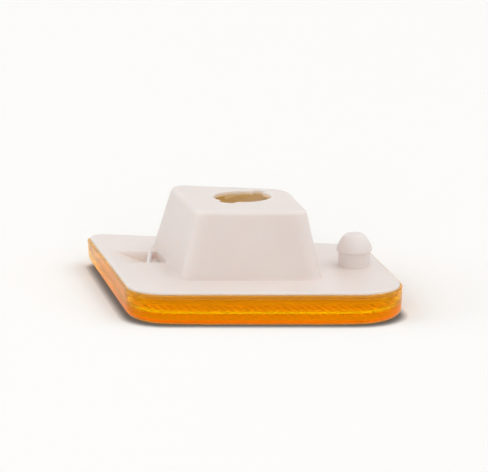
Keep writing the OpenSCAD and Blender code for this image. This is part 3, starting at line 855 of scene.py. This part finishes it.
# %% Mix the natural ABS
ABS_DARK, ABS_LIGHT = "#E7DDD9", "#ECE4E0"
FLOW_CLOUDS, SPARK_GRAIN, SHRINK_WAVES = 14.0, 0.35, 9.0  # mm across
GRAIN_HEIGHT, WAVE_HEIGHT = 0.02, 0.08  # mm
SATIN_LOW, SATIN_HIGH = 0.34, 0.46  # roughness over the grain
LIGHT_DEPTH, DEPTH_BY_COLOUR = 3.0, (1.0, 0.9, 0.8)  # mm that light sinks in, and the share for each colour

abs_natural, abs_end = new_material("natural_abs_moulded")
tree = abs_natural.node_tree
place = add(tree, "ShaderNodeTexCoord").outputs["Object"]
clouds = add(tree, "ShaderNodeTexNoise", {"Vector": place, "Scale": 1 / (FLOW_CLOUDS * MM), "Detail": 3.0})
grain = add(tree, "ShaderNodeTexNoise", {"Vector": place, "Scale": 1 / (SPARK_GRAIN * MM), "Detail": 2.0})
waves = add(tree, "ShaderNodeTexNoise", {"Vector": place, "Scale": 1 / (SHRINK_WAVES * MM), "Detail": 1.0})
tint = add(tree, "ShaderNodeMix", {
    "Factor": clouds.outputs["Fac"], "A": linear(ABS_DARK), "B": linear(ABS_LIGHT)}, data_type="RGBA")
gloss = add(tree, "ShaderNodeMapRange", {
    "Value": grain.outputs["Fac"], "To Min": SATIN_LOW, "To Max": SATIN_HIGH})
swell = add(tree, "ShaderNodeBump", {
    "Height": waves.outputs["Fac"], "Strength": 0.25, "Distance": WAVE_HEIGHT * MM})
satin = add(tree, "ShaderNodeBump", {
    "Height": grain.outputs["Fac"], "Strength": 0.2, "Distance": GRAIN_HEIGHT * MM,
    "Normal": swell.outputs[0]})
plastic = add(tree, "ShaderNodeBsdfPrincipled", {
    "Base Color": tint.outputs["Result"], "Roughness": gloss.outputs["Result"], "Normal": satin.outputs[0],
    "IOR": 1.53, "Subsurface Weight": 1.0, "Subsurface Radius": DEPTH_BY_COLOUR,
    "Subsurface Scale": LIGHT_DEPTH * MM})
tree.links.new(plastic.outputs[0], abs_end.inputs["Surface"])
print("ABS has", len(tree.nodes), "nodes")

# %% [markdown]
# ## Amber acrylic
#
# The lens is PMMA, dyed through. The tool that shaped its outside was polished, and the one inside finely
# textured, so the same plastic is glossy without and soft within. A glass shader with a flat colour would
# look the same at every thickness. Here a dye in the volume takes all blue at once and green slowly: a thin
# lip stays peach, the wall turns amber, and a long way through the tray glows deep orange.
#
# Light that is caught between the two faces of a tray bounces many times before it leaves, and a renderer
# gives up on it after a few. The share that goes straight through stands for that light, and keeps the tray
# as luminous as it is. Solid acrylic has an IOR of 1.49; a little less traps less light, for the same reason.

# %% Mix the amber acrylic
AMBER, AMBER_GLINT = "#FFD0A0", "#FFB030"  # tint of light that bends at each face, and of its reflections
STRAIGHT, STRAIGHT_SHARE = "#FFE6CC", 0.27  # tint and share of light that goes straight through each face
POLISHED, TEXTURED = 0.03, 0.10  # roughness outside and inside
DYE, DYE_DENSITY = "#FFFC00", 900.0  # per metre: blue falls to a third in about 1 mm, green in 45 mm
RIPPLES, RIPPLE_HEIGHT = 6.0, 0.03  # mm, the slight waves of a moulded wall

pmma_amber, pmma_end = new_material("amber_pmma_polished")
tree = pmma_amber.node_tree
place = add(tree, "ShaderNodeTexCoord").outputs["Object"]
ripple = add(tree, "ShaderNodeTexNoise", {"Vector": place, "Scale": 1 / (RIPPLES * MM), "Detail": 1.0})
bend_light = add(tree, "ShaderNodeBump", {
    "Height": ripple.outputs["Fac"], "Strength": 0.3, "Distance": RIPPLE_HEIGHT * MM})
side = add(tree, "ShaderNodeAttribute", attribute_name="textured")
gloss = add(tree, "ShaderNodeMapRange", {
    "Value": side.outputs["Fac"], "To Min": POLISHED, "To Max": TEXTURED})
acrylic = add(tree, "ShaderNodeBsdfPrincipled", {
    "Base Color": linear(AMBER), "Roughness": gloss.outputs["Result"], "Normal": bend_light.outputs[0],
    "IOR": 1.44, "Transmission Weight": 1.0, "Specular Tint": linear(AMBER_GLINT)})
straight = add(tree, "ShaderNodeBsdfTransparent", {"Color": linear(STRAIGHT)})
blend = add(tree, "ShaderNodeMixShader", {0: STRAIGHT_SHARE, 1: acrylic.outputs[0], 2: straight.outputs[0]})
dye = add(tree, "ShaderNodeVolumeAbsorption", {"Color": linear(DYE), "Density": DYE_DENSITY})
tree.links.new(blend.outputs[0], pmma_end.inputs["Surface"])
tree.links.new(dye.outputs[0], pmma_end.inputs["Volume"])
green_loss = DYE_DENSITY * (1 - linear(DYE)[1])  # per metre
print("green left after 10 mm:", round(float(np.exp(-green_loss * 10 * MM)), 2))

# %% [markdown]
# ## Butyl sealant
#
# The bead is butyl: soft, matt and greyish white where it shows through the amber. It is squeezed out of a
# nozzle, so it stays slightly lumpy. Little of it is seen, so one noise serves for both colour and relief.

# %% Mix the sealing compound
BUTYL_DARK, BUTYL_LIGHT = "#EAE5DC", "#F2EEE6"
LUMPS, LUMP_HEIGHT = 0.8, 0.05  # mm

butyl, butyl_end = new_material("butyl_sealant")
tree = butyl.node_tree
place = add(tree, "ShaderNodeTexCoord").outputs["Object"]
lumps = add(tree, "ShaderNodeTexNoise", {"Vector": place, "Scale": 1 / (LUMPS * MM), "Detail": 2.0})
swell = add(tree, "ShaderNodeBump", {
    "Height": lumps.outputs["Fac"], "Strength": 0.4, "Distance": LUMP_HEIGHT * MM})
tint = add(tree, "ShaderNodeMix", {
    "Factor": lumps.outputs["Fac"], "A": linear(BUTYL_DARK), "B": linear(BUTYL_LIGHT)}, data_type="RGBA")
putty = add(tree, "ShaderNodeBsdfPrincipled", {
    "Base Color": tint.outputs["Result"], "Roughness": 0.6, "Normal": swell.outputs[0]})
tree.links.new(putty.outputs[0], butyl_end.inputs["Surface"])
print("butyl has", len(tree.nodes), "nodes")

# %% [markdown]
# ## Dress the solids
#
# Each finished skin rides on the part's one body and stands for its CAD node. Shading could be smooth all
# over, but breaks at real edges: on the lens at 24 degrees, because the flutes meet its floor at about 30,
# and on the soft bead only at 60.

# %% Ride, replace and finish
DRESS = ((shell, abs_natural, 30.0, "housing", "housing"),  # piece, finish, degrees at which shading breaks,
         (lens, pmma_amber, 24.0, "amber_lens", "lens"),  # slot in the record, and the node it stands for
         (bead, butyl, 60.0, "seal", "lens_seal"))
for piece, material, sharp, slot, node in DRESS:
    shade(piece, material, sharp)
    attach(piece, "root")
    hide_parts(node)
    print(piece.name, "stands for", node, "with", len(piece.data.polygons), "faces")

# %% [markdown]
# ## Last settings
#
# The box of the solids, kept from the start, has set the floor's height. Last, the view layer is brought up
# to date and the view transform is set to Standard.

# %% Update the view
bpy.context.view_layer.update()
bpy.context.scene.view_settings.view_transform = "Standard"
